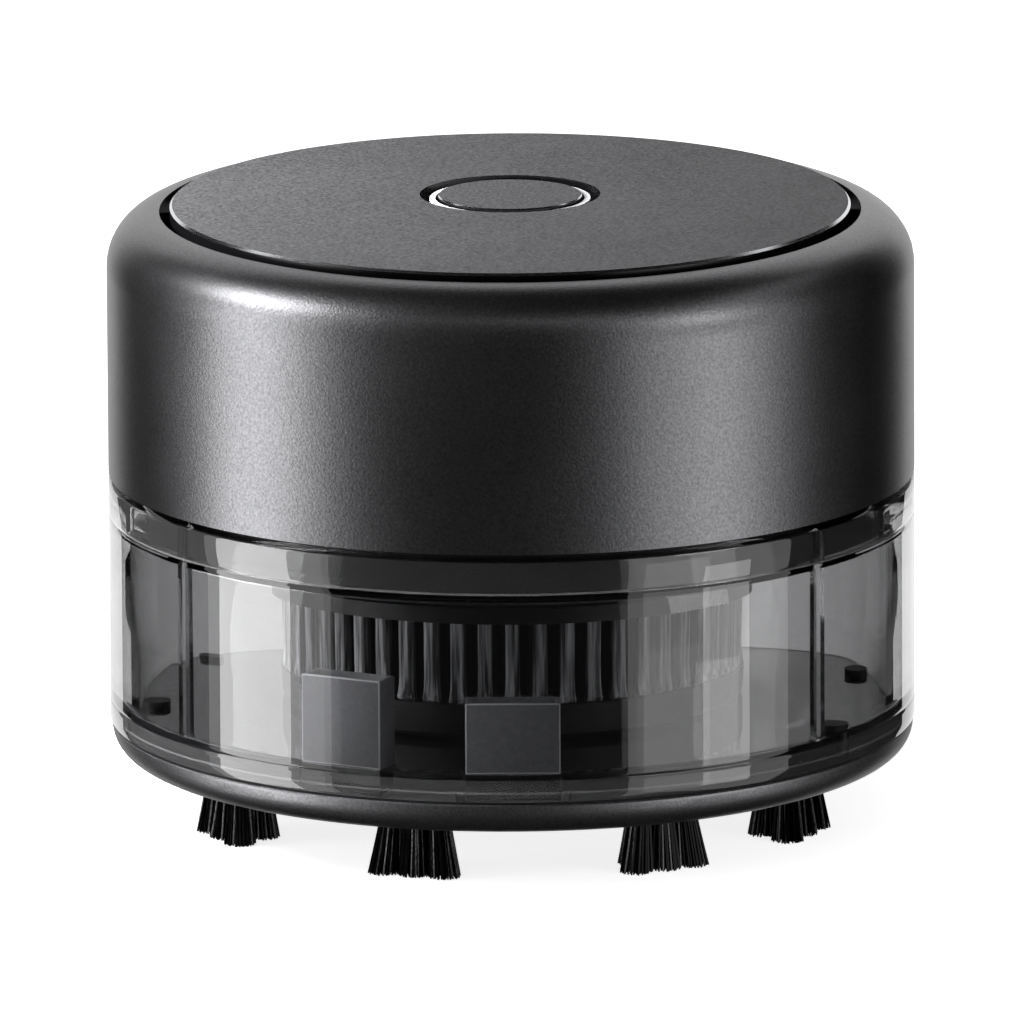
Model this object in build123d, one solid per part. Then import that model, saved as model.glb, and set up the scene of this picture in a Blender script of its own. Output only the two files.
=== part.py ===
from build123d import *
from math import cos, pi, radians, sin, sqrt
import os

# Desktop mini vacuum cleaner. Millimetres; the vacuum's axis is Z, z = 0 is the plane of the
# brush tips, and the front is -Y. A bearing is an angle about Z in degrees, 0 at the front and
# growing towards +X.

# Driving dimensions: outside of the vacuum
body_radius = 42.0
brush_length = 6.3
base_thickness = 3.5
cup_height = 25.5
shadow_gap = 0.8  # black gap between the cup's rim and the housing
housing_height = 27.4
plate_proud = 0.7  # how far the top plate stands above the housing's lip
lip_trim = 0.2  # how far the lip's bore cuts into the shoulder's round
shoulder_radius = 5.7
groove_width = 1.1

# Clearances
slip = 0.1  # a piece that drops into its seat
seat_gap = 0.3  # pieces that move past each other
spigot_clearance = 0.15

# Base plate
base_inset = 0.2  # the base ring is this much smaller than the cup
base_edge_radius = 3.0
base_top_chamfer = 0.25

# Bristle tufts: a brush has an outer row of tufts and a shorter row inside it
brush_rivet_gap = 0.55  # from the tufts' tips to the rivets' heads
brush_bearings = (-64.0, -18.0, 28.0, 64.5, 116.0, 162.0, 208.0, 244.5)
tufts_in_rows = (3, 2)
tuft_pitch = 2.6
tuft_row_pitch = 2.8
tuft_sides = 12
tuft_root_radius = 1.4
tuft_root_length = 2.2
tuft_top_radius = 1.85
tuft_tip_radius = 2.45

# Clear cup
cup_wall = 3.0
floor_thickness = 2.5
rib_bearings = (-57.7, 52.2)
rib_width = 1.2
rib_depth = 0.8
bead_width = 2.1  # ledge inside the wall that the seal lands on
bead_thickness = 0.8
peg_bearings = (-76.0, 70.0)
peg_width = 1.2
peg_height = 2.8
peg_reach = 1.05  # how far a locating peg stands out of the spigot

# Inlet ducts: a low and a tall one at the front, the same pair at the back
low_duct_width = 9.6
low_duct_height = 7.5  # above the cup's floor
tall_duct_width = 8.8
tall_duct_height = 9.4
ducts = (
    ("inlet_duct_front", 0.0, low_duct_width, low_duct_height),
    ("inlet_duct_left", -27.0, tall_duct_width, tall_duct_height),
    ("inlet_duct_back", 180.0, low_duct_width, low_duct_height),
    ("inlet_duct_right", 153.0, tall_duct_width, tall_duct_height),
)
duct_depth = 3.4
duct_wall = 0.5
duct_wall_gap = 0.8  # from the duct's face to the cup's wall
duct_flange = 0.8  # width and thickness of the flange at the duct's foot

# Rivets between base plate and cup floor
rivet_bearings = (60.0, 100.0, 240.0, 280.0)
rivet_wall_gap = 1.8
rivet_shank_radius = 0.8
rivet_head_radius = 1.4
rivet_head_height = 0.7

# Housing shell
housing_wall = 1.8
inner_shoulder = 2.6  # bevel inside the round shoulder
deck_thickness = 1.5
vent_bearings = (14.0, 58.0, 90.0, 122.0, 166.0)  # each on both sides
vent_angle = 24.0
vent_width = 3.0
boss_bearings = (35.0, -35.0, 145.0, -145.0)
boss_radius = 2.6
boss_pad = 0.6  # the chassis pad's rim around a boss
pad_height = 1.5

# Top plate and the round button in it
plate_thickness = 2.5
plate_chamfer = 0.25
rim_relief_height = 1.0
rim_relief_width = 2.9
button_offset = 4.3  # the button stands this far behind the axis
button_well_radius = 9.4
button_radius = 7.5
button_gap = 0.25
button_drop = 0.05  # the cap's top lies this far below the plate's
button_cap_thickness = 1.6
button_skirt_wall = 1.2
button_travel = 0.8
hook_angle = 24.0
hook_reach = 1.0
ring_drop = 0.15  # the light ring's top lies this far below the plate's
ring_width = 0.65
ring_flange_reach = 1.6
ring_flange_height = 0.6
ring_tube_wall = 1.05
peg_hole_radius = 1.6
plate_peg_ring_radius = 24.0

# Chassis
spigot_depth = 4.4
spigot_wall = 2.0
chassis_thickness = 1.5
flange_thickness = 1.5
eye_radius = 9.0
seal_width = 0.7
seal_thickness = 1.0
seal_inset = 0.2
seal_stand_out = 0.5

# Filter cartridge and its bayonet
filter_radius = 24.0
pleat_count = 52
pleat_depth = 6.0
paper_thickness = 0.45
pleat_tip_share = 0.62  # share of the pitch that is pleat at its tip
pleat_root_share = 0.55
core_wall = 1.0
core_window_count = 8
core_window_angle = 30.0
band_height = 1.9
band_lip = 0.6
end_cap_height = 3.6
end_cap_floor = 1.5
neck_inset = 3.1  # the neck's outside is this much smaller than the filter
neck_wall = 3.4
collar_height = 3.5
collar_wall = 1.5
lug_bearings = (0.0, 120.0, 240.0)
lug_angle = 14.0
lug_reach = 1.7
lug_height = 1.2
track_slack_angle = 2.0
lock_turn = 22.0  # from locked to free

# Fan
fan_radius = 16.6
fan_blade_inner = 6.5
fan_blade_count = 9
fan_blade_thickness = 0.9
fan_blade_curve_radius = 11.0
fan_blade_curve_offset = 9.0
fan_blade_height = 4.4
fan_plate_thickness = 1.0
fan_hub_radius = 3.0
fan_floor_gap = 0.6
fan_top_gap = 1.0
fan_side_gap = 1.6
fan_housing_wall = 1.5
fan_housing_roof = 1.2
outlet_count = 6
outlet_angle = 34.0

# Motor
motor_radius = 12.2
motor_head_room = 2.0  # from the end cap's boss to the button board
motor_can_wall = 0.8
motor_nose_radius = 3.3
motor_nose_height = 0.9
shaft_radius = 1.0
shaft_fit = 0.04
bush_radius = 2.5
bush_length = 2.4
magnet_thickness = 1.2
magnet_angle = 120.0
armature_radius = 9.6
armature_head_room = 0.9  # from the coils to the end cap
armature_arm_width = 3.0
armature_shoe = 1.6
armature_shoe_angle = 84.0
armature_hub_radius = 3.2
coil_width = 1.5
commutator_radius = 2.3
commutator_length = 1.3
end_cap_disc = 1.8
end_cap_boss_radius = 4.0
end_cap_boss_height = 1.2
motor_screw_spread = 8.0

# Batteries
battery_radius = 7.0
battery_length = 42.0
battery_motor_gap = 1.0
battery_floor_gap = 8.4
battery_terminal_radius = 2.6
battery_terminal_height = 0.8
saddle_thickness = 2.0
saddle_spread = 15.0
saddle_width = 11.2
saddle_rise = 3.4
pad_width = 8.0
pad_length = 30.0

# Button board, switch and lights
board_thickness = 1.0
button_board_radius = 13.0
button_board_drop = 2.2  # from the deck's underside to the board's top
board_boss_radius = 1.8
board_boss_reach = 10.8
switch_size = 6.0
switch_height = 3.2
switch_plunger_radius = 1.7
plunger_bore_depth = 1.0
led_size = 1.6
led_height = 0.7
led_reach = 8.2

# Charging board and its USB-C socket
charge_board_width = 17.0
charge_board_length = 11.3
charge_board_height = 2.4  # above the chassis flange's top
charge_board_wall_gap = 0.6
socket_width = 8.94
socket_height = 3.26
socket_depth = 7.35
socket_wall = 0.35
socket_inset = 0.75
socket_opening_gap = 0.25
tongue_width = 6.7
tongue_thickness = 0.7
post_radius = 1.8
post_spread = 6.0

# Screws
screw_radius = 0.9
screw_fit = 0.05
screw_head_radius = 1.8
screw_head_height = 1.4
screw_grip = 6.0
small_screw_radius = 0.7
small_head_radius = 1.3
small_head_height = 0.7

# Levels that follow from the dimensions above
base_low = brush_length
base_top = base_low + base_thickness
floor_top = base_top + floor_thickness
cup_rim = base_top + cup_height
housing_low = cup_rim + shadow_gap
housing_top = housing_low + housing_height
plate_top = housing_top + plate_proud
deck_top = plate_top - plate_thickness
deck_low = deck_top - deck_thickness
spigot_low = housing_low - spigot_depth
chassis_top = spigot_low + chassis_thickness
flange_top = housing_low + flange_thickness
collar_low = spigot_low - collar_height
band_top = collar_low - seat_gap
band_low = band_top - band_height
filter_low = floor_top + seat_gap
end_cap_top = filter_low + end_cap_height
bead_top = spigot_low - seal_stand_out
fan_low = chassis_top + fan_floor_gap
fan_plate_low = fan_low + fan_blade_height
fan_top = fan_plate_low + fan_plate_thickness
roof_low = fan_top + fan_top_gap
roof_top = roof_low + fan_housing_roof
board_top = deck_low - button_board_drop
motor_top = board_top - board_thickness - motor_head_room - end_cap_boss_height
switch_top = board_top + switch_height
cap_top = plate_top - button_drop
cap_low = cap_top - button_cap_thickness
charge_board_low = flange_top + charge_board_height
charge_board_top = charge_board_low + board_thickness

# Radii that follow from the dimensions above
base_radius = body_radius - base_inset
cup_inner = body_radius - cup_wall
bead_inner = cup_inner - bead_width
spigot_outer = cup_inner - spigot_clearance
spigot_inner = spigot_outer - spigot_wall
housing_inner = body_radius - housing_wall
lip_radius = body_radius - shoulder_radius + lip_trim
plate_radius = lip_radius - groove_width
boss_ring_radius = spigot_inner - boss_radius - seat_gap
duct_face_radius = cup_inner - duct_wall_gap
rivet_ring_radius = cup_inner - rivet_wall_gap
brush_ring_radius = rivet_ring_radius - rivet_head_radius - brush_rivet_gap - tuft_tip_radius
neck_radius = filter_radius - neck_inset
neck_inner = neck_radius - neck_wall
collar_inner = neck_radius + seat_gap
lug_outer = neck_radius + lug_reach
lug_track_radius = lug_outer + seat_gap
collar_outer = lug_track_radius + collar_wall
pleat_root_radius = filter_radius - pleat_depth
core_outer = pleat_root_radius - paper_thickness
core_inner = core_outer - core_wall
fan_housing_inner = fan_radius + fan_side_gap
fan_housing_outer = fan_housing_inner + fan_housing_wall
battery_x = motor_radius + battery_motor_gap + battery_radius
battery_z = chassis_top + battery_floor_gap + battery_radius
ring_inner = button_radius + button_gap
ring_outer = ring_inner + ring_width
ring_tube_outer = ring_inner + ring_tube_wall
ring_flange_outer = ring_tube_outer + ring_flange_reach

FROM_BELOW = (Align.CENTER, Align.CENTER, Align.MIN)


def disc(radius, low, high):
    """A round plate or rod on the axis, between two levels."""
    return Pos(0, 0, low) * Cylinder(radius, high - low, align=FROM_BELOW)


def ring(inner, outer, low, high):
    """A tube on the axis, between two levels."""
    return disc(outer, low, high) - disc(inner, low, high)


def block(x_size, near, far, low, high):
    """A block at the front, centred on the YZ plane, from one distance from the axis to another."""
    return Pos(0, -(near + far) / 2, low) * Box(x_size, far - near, high - low, align=FROM_BELOW)


def turn(bearing, shape):
    """The shape, which was made at the front, turned to a bearing."""
    return Rot(0, 0, bearing) * shape


def post(x, y, radius, low, high):
    """A round post, hole or pin anywhere on the plan."""
    return Pos(x, y, 0) * disc(radius, low, high)


def on_plan(radius, bearing):
    """The X and Y of a point at a radius and bearing."""
    return radius * sin(radians(bearing)), -radius * cos(radians(bearing))


def sector(inner, outer, centre, arc, low, high):
    """A piece of a tube, arc degrees long and centred on a bearing."""
    reach = 2 * outer
    half = radians(arc / 2)
    left = (-reach * sin(half), -reach * cos(half))
    right = (reach * sin(half), -reach * cos(half))
    tip = (0, -2 * reach)
    wedge = make_face(Polyline((0, 0), left, tip, right, close=True))
    return turn(centre, ring(inner, outer, low, high) & Pos(0, 0, low) * extrude(wedge, high - low))


def dust_cup():
    """Clear cup with guide ribs, landing bead, peg notches, and slots and holes in its floor."""
    cup = disc(body_radius, base_top, cup_rim) - disc(cup_inner, floor_top, cup_rim)
    cup += ring(bead_inner, cup_inner + slip, bead_top - bead_thickness, bead_top)
    for bearing in rib_bearings:
        rib = block(rib_width, cup_inner - rib_depth, cup_inner + rib_depth, floor_top, cup_rim)
        cup += turn(bearing, rib)
    for bearing in peg_bearings:
        far = spigot_outer + peg_reach + seat_gap
        cup -= turn(bearing, block(peg_width + 2 * seat_gap, spigot_outer, far, spigot_low, cup_rim))
    for name, bearing, width, height in ducts:
        cup -= turn(bearing, duct_body(width, slip, base_top, floor_top))
    for bearing in rivet_bearings:
        x, y = on_plan(rivet_ring_radius, bearing)
        cup -= post(x, y, rivet_shank_radius + screw_fit, base_top, floor_top)
    return cup


def duct_body(width, margin, low, high):
    """The solid block of a duct at the front, grown by a margin, for the duct and for its slots."""
    near = duct_face_radius - duct_depth - margin
    return block(width + 2 * margin, near, duct_face_radius + margin, low, high)


def inlet_duct(width, height):
    """Rectangular suction pipe that stands up through base plate and cup floor, open at both ends."""
    flange_low = base_top - duct_flange
    duct = duct_body(width, 0, base_low, floor_top + height)
    duct += duct_body(width, duct_flange, flange_low, base_top)
    return duct - duct_body(width, -duct_wall, base_low, floor_top + height)


def base_plate():
    """Base ring and plate in one, with a rounded lower edge, brush sockets and duct slots."""
    plate = disc(base_radius, base_low, base_top)
    plate = fillet(plate.edges().group_by(Axis.Z)[0], base_edge_radius)
    plate = chamfer(plate.edges().group_by(Axis.Z)[-1], base_top_chamfer)
    for name, bearing, width, height in ducts:
        plate -= turn(bearing, duct_body(width, slip, base_low, base_top))
        pocket = duct_body(width, duct_flange + slip, base_top - duct_flange - slip, base_top)
        plate -= turn(bearing, pocket)
    for bearing in brush_bearings:
        plate -= turn(bearing, brush_root(slip))
    for bearing in rivet_bearings:
        x, y = on_plan(rivet_ring_radius, bearing)
        plate -= post(x, y, rivet_shank_radius + screw_fit, base_low, base_top)
        plate -= post(x, y, rivet_head_radius + slip, base_low, base_low + rivet_head_height + slip)
    return plate


def tuft_rows():
    """Where one brush's tufts stand, row by row from the outside in, for a brush at the front."""
    rows = []
    for row, count in enumerate(tufts_in_rows):
        y = tuft_row_pitch * row - brush_ring_radius
        rows.append([(tuft_pitch * (i - (count - 1) / 2), y) for i in range(count)])
    return rows


def brush_root(margin):
    """The common root of one brush's tufts, grown by a margin for its socket in the base plate."""
    ends = [place for row in tuft_rows() for place in (row[0], row[-1])]
    circles = [Pos(x, y, 0) * Circle(tuft_root_radius + margin) for x, y in ends]
    outline = make_hull([edge for circle in circles for edge in circle.edges()])
    return Pos(0, 0, base_low) * extrude(outline, tuft_root_length + margin)


def brush():
    """Flared bristle tufts in rows on a common root, each tuft a many-sided taper."""
    tip = RegularPolygon(tuft_tip_radius, tuft_sides)
    top = Pos(0, 0, brush_length) * RegularPolygon(tuft_top_radius, tuft_sides)
    tuft = loft([tip, top])
    tufts = [Pos(x, y, 0) * tuft for row in tuft_rows() for x, y in row]
    return brush_root(0).fuse(*tufts)


def base_rivets():
    """Black rivets that hold the base plate under the cup's floor."""
    rivets = []
    for bearing in rivet_bearings:
        x, y = on_plan(rivet_ring_radius, bearing)
        shank = post(x, y, rivet_shank_radius, base_low, floor_top + rivet_head_height)
        lower = post(x, y, rivet_head_radius, base_low, base_low + rivet_head_height)
        upper = post(x, y, rivet_head_radius, floor_top, floor_top + rivet_head_height)
        rivets.append(shank + lower + upper)
    return Compound(rivets)


def housing_shell():
    """Moulded housing: round shoulder, recessed deck with vents, screw bosses and the USB slot."""
    shell = disc(body_radius, housing_low, housing_top)
    shell = fillet(shell.edges().group_by(Axis.Z)[-1], shoulder_radius)
    cavity = disc(housing_inner, housing_low, deck_low)
    shell -= chamfer(cavity.edges().group_by(Axis.Z)[-1], inner_shoulder)
    shell -= disc(lip_radius, deck_top, housing_top)
    for bearing in vent_bearings:
        for side in (bearing, -bearing):
            shell -= sector(lip_radius - vent_width, lip_radius, side, vent_angle, deck_low, deck_top)
    for bearing in boss_bearings:
        x, y = on_plan(boss_ring_radius, bearing)
        low = chassis_top + pad_height
        shell += post(x, y, boss_radius, low, deck_low)
        shell -= post(x, y, screw_radius + screw_fit, low, low + screw_grip)
    for x, y in board_boss_places():
        shell += post(x, y, board_boss_radius, board_top, deck_low)
        shell -= post(x, y, small_screw_radius + screw_fit, board_top, deck_low)
    shell -= Pos(0, button_offset, 0) * disc(ring_tube_outer + slip, deck_low, deck_top)
    for x, y in plate_peg_places():
        shell -= post(x, y, peg_hole_radius, deck_low, deck_top)
    return shell - socket_block(socket_opening_gap, body_radius + slip)


def board_boss_places():
    """The two bosses that carry the button board, on both sides of the button."""
    return [(side * board_boss_reach, button_offset) for side in (-1, 1)]


def plate_peg_places():
    """The four pegs that hold the top plate to the deck."""
    return [on_plan(plate_peg_ring_radius, bearing) for bearing in (45, 135, 225, 315)]


def top_plate():
    """Matte top plate with a bevelled rim, relieved below for the vents, and the button's well."""
    plate = disc(plate_radius, deck_top, plate_top)
    plate = chamfer(plate.edges().group_by(Axis.Z)[-1], plate_chamfer)
    plate -= ring(plate_radius - rim_relief_width, plate_radius, deck_top, deck_top + rim_relief_height)
    button_place = Pos(0, button_offset, 0)
    plate -= button_place * disc(button_well_radius, deck_top, plate_top)
    seat_radius = ring_flange_outer + slip
    plate -= button_place * disc(seat_radius, deck_top, deck_top + ring_flange_height)
    for x, y in plate_peg_places():
        plate += post(x, y, peg_hole_radius - slip, deck_low, deck_top)
    return plate


def light_ring():
    """Light guide: a thin ring round the button, a flange under the plate and a tube in the deck."""
    guide = ring(ring_inner, ring_outer, deck_top, plate_top - ring_drop)
    guide += ring(ring_inner, ring_flange_outer, deck_top, deck_top + ring_flange_height)
    guide += ring(ring_inner, ring_tube_outer, deck_low, deck_top)
    return Pos(0, button_offset, 0) * guide


def button_cap():
    """Round button cap with a skirt and three hooks that catch under the light ring."""
    skirt_low = board_top + button_travel + slip
    cap = chamfer(disc(button_radius, cap_low, cap_top).edges().group_by(Axis.Z)[-1], slip)
    cap += ring(button_radius - button_skirt_wall, button_radius, skirt_low, cap_low)
    for bearing in (0, 120, 240):
        inner = button_radius - button_skirt_wall
        outer = button_radius + hook_reach
        cap += sector(inner, outer, bearing, hook_angle, skirt_low, deck_low - seat_gap)
    return Pos(0, button_offset, 0) * cap


def switch_plunger():
    """Plunger of the push switch, which the button's cap rests on."""
    low = switch_top - plunger_bore_depth + button_travel + slip
    return post(0, button_offset, switch_plunger_radius, low, cap_low)


def tact_switch():
    """Square push switch on the button board, with the bore its plunger sinks into."""
    body = Pos(0, button_offset, board_top) * Box(switch_size, switch_size, switch_height, align=FROM_BELOW)
    bore_low = switch_top - plunger_bore_depth
    return body - post(0, button_offset, switch_plunger_radius + slip, bore_low, switch_top)


def button_board():
    """Round circuit board below the button."""
    board = post(0, button_offset, button_board_radius, board_top - board_thickness, board_top)
    for x, y in board_boss_places():
        board -= post(x, y, small_screw_radius + slip, board_top - board_thickness, board_top)
    return board


def indicator_leds():
    """Three lights on the button board, under the light ring and between the cap's hooks."""
    leds = []
    for bearing in (60, 180, 300):
        led = block(led_size, led_reach, led_reach + led_size, board_top, board_top + led_height)
        leds.append(Pos(0, button_offset, 0) * turn(bearing, led))
    return Compound(leds)


def screw(x, y, seat, grip, radius, head_radius, head_height):
    """Pan-head screw driven upwards: the head hangs below its seat and the shank rises above it."""
    head = post(x, y, head_radius, seat - head_height, seat)
    return head + post(x, y, radius, seat, seat + grip)


def board_screws():
    """Two small screws that hold the button board to its bosses."""
    seat = board_top - board_thickness
    grip = board_thickness + button_board_drop - seat_gap
    screws = [
        screw(x, y, seat, grip, small_screw_radius, small_head_radius, small_head_height)
        for x, y in board_boss_places()
    ]
    return Compound(screws)


def chassis_screws():
    """Four screws from below that hold the chassis to the housing's bosses."""
    seat = spigot_low + screw_head_height + slip
    grip = chassis_top + pad_height + screw_grip - seat_gap - seat
    places = [on_plan(boss_ring_radius, bearing) for bearing in boss_bearings]
    screws = [
        screw(x, y, seat, grip, screw_radius, screw_head_radius, screw_head_height) for x, y in places
    ]
    return Compound(screws)


def chassis():
    """Floor of the housing: spigot in the cup, flange in the shell, fan eye, filter collar, saddles."""
    frame = ring(spigot_inner, spigot_outer, spigot_low, flange_top)
    frame += disc(spigot_outer, spigot_low, chassis_top)
    frame += ring(spigot_inner, housing_inner - slip, housing_low, flange_top)
    for bearing in boss_bearings:
        x, y = on_plan(boss_ring_radius, bearing)
        frame += post(x, y, boss_radius + boss_pad, chassis_top, chassis_top + pad_height)
    for bearing in boss_bearings:
        x, y = on_plan(boss_ring_radius, bearing)
        head_room = spigot_low + screw_head_height + slip
        frame -= post(x, y, screw_head_radius + slip, spigot_low, head_room)
        frame -= post(x, y, screw_radius + slip, head_room, chassis_top + pad_height)
    for bearing in peg_bearings:
        peg_low = cup_rim - seat_gap - peg_height
        peg = block(peg_width, spigot_inner, spigot_outer + peg_reach, peg_low, peg_low + peg_height)
        frame += turn(bearing, peg)
    for bearing in rib_bearings:
        near = cup_inner - rib_depth - seat_gap
        notch = block(rib_width + 2 * seat_gap, near, spigot_outer + slip, spigot_low, housing_low)
        frame -= turn(bearing, notch)
    seal_inner = spigot_inner + seal_inset
    groove_top = spigot_low + seal_thickness - seal_stand_out
    frame -= ring(seal_inner, seal_inner + seal_width, spigot_low, groove_top)
    frame -= disc(eye_radius, spigot_low, chassis_top)
    frame += filter_collar()
    for x in (-battery_x, battery_x):
        for y in (-saddle_spread, saddle_spread):
            frame += battery_saddle(x, y)
    for x in (-post_spread, post_spread):
        frame += post(x, charge_post_y(), post_radius, chassis_top, charge_board_low)
    return frame


def filter_collar():
    """Collar under the chassis floor with the bayonet track that the filter's lugs turn in."""
    collar = ring(collar_inner, collar_outer, collar_low, spigot_low)
    track_low = spigot_low - seat_gap - lug_height - 2 * seat_gap
    track_high = spigot_low - seat_gap
    arc = lug_angle + track_slack_angle
    for bearing in lug_bearings:
        track = sector(0, lug_track_radius, bearing + lock_turn / 2, arc + lock_turn, track_low, track_high)
        entry = sector(0, lug_track_radius, bearing + lock_turn, arc, collar_low, track_high)
        collar -= track
        collar -= entry
    return collar


def battery_saddle(x, y):
    """Upright rib with a round seat for a battery."""
    height = battery_z - battery_radius - chassis_top + saddle_rise
    rib = Pos(x, y, chassis_top) * Box(saddle_width, saddle_thickness, height, align=FROM_BELOW)
    return rib - battery_rod(x, battery_radius + slip, battery_length)


def battery_rod(x, radius, length):
    """A rod along Y on a battery's centre line."""
    return Pos(x, 0, battery_z) * Rot(90, 0, 0) * Cylinder(radius, length)


def battery(x):
    """Round lithium cell with its raised terminal at the front end."""
    cell = battery_rod(x, battery_radius, battery_length - 2 * battery_terminal_height)
    return cell + battery_rod(x, battery_terminal_radius, battery_length)


def battery_pads():
    """Foam pads that press the cells down from the deck."""
    pads = []
    for x in (-battery_x, battery_x):
        low = battery_z + battery_radius
        pads.append(Pos(x, 0, low) * Box(pad_width, pad_length, deck_low - low, align=FROM_BELOW))
    return Compound(pads)


def charge_board_y():
    """Y of the charging board's rear edge, inside the shell at the board's corners."""
    return sqrt((housing_inner - charge_board_wall_gap) ** 2 - (charge_board_width / 2) ** 2)


def charge_post_y():
    """Y of the posts that carry the charging board."""
    return charge_board_y() - charge_board_length + post_radius


def charge_board():
    """Small board at the back that carries the USB-C socket."""
    y = charge_board_y() - charge_board_length / 2
    board = Box(charge_board_width, charge_board_length, board_thickness, align=FROM_BELOW)
    return Pos(0, y, charge_board_low) * board


def socket_block(margin, rear):
    """Rounded block of the USB-C socket, grown by a margin, ending at a distance behind the axis."""
    width = socket_width + 2 * margin
    height = socket_height + 2 * margin
    outline = RectangleRounded(width, height, height / 2 - slip)
    front = body_radius - socket_inset - socket_depth
    middle = charge_board_top + socket_height / 2
    plane = Plane(origin=(0, rear, middle), x_dir=(1, 0, 0), z_dir=(0, -1, 0))
    return extrude(plane * outline, rear - front)


def usb_socket():
    """USB-C socket: a pressed shell, open to the back, with its contact tongue."""
    rear = body_radius - socket_inset
    socket = socket_block(0, rear)
    hollow = socket_block(-socket_wall, rear)
    back_wall = Pos(0, rear - socket_depth, charge_board_top) * Box(
        socket_width, 2 * socket_wall, socket_height, align=FROM_BELOW
    )
    middle = charge_board_top + socket_height / 2
    tongue = Pos(0, rear - socket_depth / 2 - socket_wall, middle) * Box(
        tongue_width, socket_depth - 2 * socket_wall, tongue_thickness
    )
    return socket - (hollow - back_wall) + tongue


def cup_seal():
    """Flat rubber ring in the spigot's foot that presses on the cup's bead."""
    inner = spigot_inner + seal_inset
    return ring(inner, inner + seal_width, bead_top, bead_top + seal_thickness)


def fan_housing():
    """Drum round the fan with outlets in its wall; its roof carries the motor."""
    drum = disc(fan_housing_outer, chassis_top, roof_top)
    drum -= disc(fan_housing_inner, chassis_top, roof_low)
    drum -= disc(motor_nose_radius + slip, roof_low, roof_top)
    for i in range(outlet_count):
        bearing = i * 360 / outlet_count
        outlet = sector(fan_radius, fan_housing_outer + slip, bearing, outlet_angle, fan_low, roof_low)
        drum -= outlet
    for x in (-motor_screw_spread, motor_screw_spread):
        drum -= post(x, 0, small_screw_radius + slip, roof_low, roof_top)
    return drum


def motor_can():
    """Drawn steel can with its nose down and open at the top."""
    floor_high = roof_top + motor_can_wall
    can = disc(motor_radius, roof_top, motor_top) + disc(motor_nose_radius, roof_top - motor_nose_height, roof_top)
    can -= disc(motor_radius - motor_can_wall, floor_high, motor_top)
    can -= disc(bush_radius + shaft_fit, roof_top - motor_nose_height, floor_high)
    for x in (-motor_screw_spread, motor_screw_spread):
        can -= post(x, 0, small_screw_radius + screw_fit, roof_top, floor_high)
    return can


def motor_screws():
    """Two screws from inside the fan's drum into the motor's can."""
    seat = roof_low
    grip = fan_housing_roof + motor_can_wall
    screws = [
        screw(x, 0, seat, grip, small_screw_radius, small_head_radius, small_head_height)
        for x in (-motor_screw_spread, motor_screw_spread)
    ]
    return Compound(screws)


def armature_levels():
    """Levels of the armature's iron, with room for the coils below and above it."""
    low = roof_top + motor_can_wall + seat_gap + coil_width
    return low, motor_top - end_cap_disc - armature_head_room - coil_width


def motor_magnets():
    """Two arc magnets against the can's wall."""
    outer = motor_radius - motor_can_wall - screw_fit
    low = roof_top + motor_can_wall
    high = motor_top - end_cap_disc - seat_gap
    arcs = [sector(outer - magnet_thickness, outer, b, magnet_angle, low, high) for b in (90, 270)]
    return Compound(arcs)


def motor_end_cap():
    """Plastic end cap that closes the can and holds the upper bush."""
    low = motor_top - end_cap_disc
    cap = disc(motor_radius - motor_can_wall - screw_fit, low, motor_top)
    cap += disc(end_cap_boss_radius, motor_top, motor_top + end_cap_boss_height)
    return cap - disc(bush_radius + shaft_fit, low, motor_top + end_cap_boss_height)


def motor_bushes():
    """Sintered bronze bushes at both ends of the motor."""
    inner = shaft_radius + shaft_fit
    lower = roof_top - motor_nose_height
    upper = motor_top + end_cap_boss_height - bush_length
    bottom = ring(inner, bush_radius, lower, lower + motor_nose_height + motor_can_wall)
    return Compound([bottom, ring(inner, bush_radius, upper, upper + bush_length)])


def motor_shaft():
    """Ground steel shaft through the motor and the fan."""
    low = fan_low + fan_blade_height / 4
    return disc(shaft_radius, low, motor_top + end_cap_boss_height + seat_gap)


def impeller():
    """Centrifugal fan: a back plate with curved blades below it and a hub on the shaft."""
    fan = disc(fan_radius, fan_plate_low, fan_top)
    fan += disc(fan_hub_radius, fan_low + fan_blade_height / 2, fan_top)
    half = fan_blade_thickness / 2
    curve = Circle(fan_blade_curve_radius + half) - Circle(fan_blade_curve_radius - half)
    annulus = Circle(fan_radius - slip) - Circle(fan_blade_inner)
    outer_side = Pos(0, -fan_radius, 0) * Rectangle(2 * fan_radius, 2 * fan_radius)
    profile = (Pos(fan_blade_curve_offset, 0, 0) * curve) & annulus & outer_side
    rooted_height = fan_blade_height + fan_plate_thickness / 2
    blade = Pos(0, 0, fan_low) * extrude(profile, rooted_height)
    blades = [turn(i * 360 / fan_blade_count, blade) for i in range(fan_blade_count)]
    fan = fan.fuse(*blades)
    return fan - disc(shaft_radius + screw_fit / 2, fan_low, fan_top)


def armature_core():
    """Laminated iron with three poles on the shaft."""
    low, high = armature_levels()
    core = disc(armature_hub_radius, low, high)
    for bearing in (0, 120, 240):
        neck = armature_radius - armature_shoe / 2
        core += turn(bearing, block(armature_arm_width, 0, neck, low, high))
        core += sector(
            armature_radius - armature_shoe, armature_radius, bearing, armature_shoe_angle, low, high
        )
    return core - disc(shaft_radius + screw_fit / 2, low, high)


def armature_coils():
    """Copper winding round each of the three poles."""
    low, high = armature_levels()
    near = armature_hub_radius + coil_width / 2
    half_width = armature_arm_width / 2 + coil_width
    far = sqrt((armature_radius - armature_shoe) ** 2 - half_width**2) - slip
    coils = []
    for bearing in (0, 120, 240):
        coil = block(2 * half_width, near, far, low - coil_width, high + coil_width)
        inside = block(armature_arm_width + slip, near, far, low - slip / 2, high + slip / 2)
        coils.append(turn(bearing, coil - inside))
    return Compound(coils)


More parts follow.
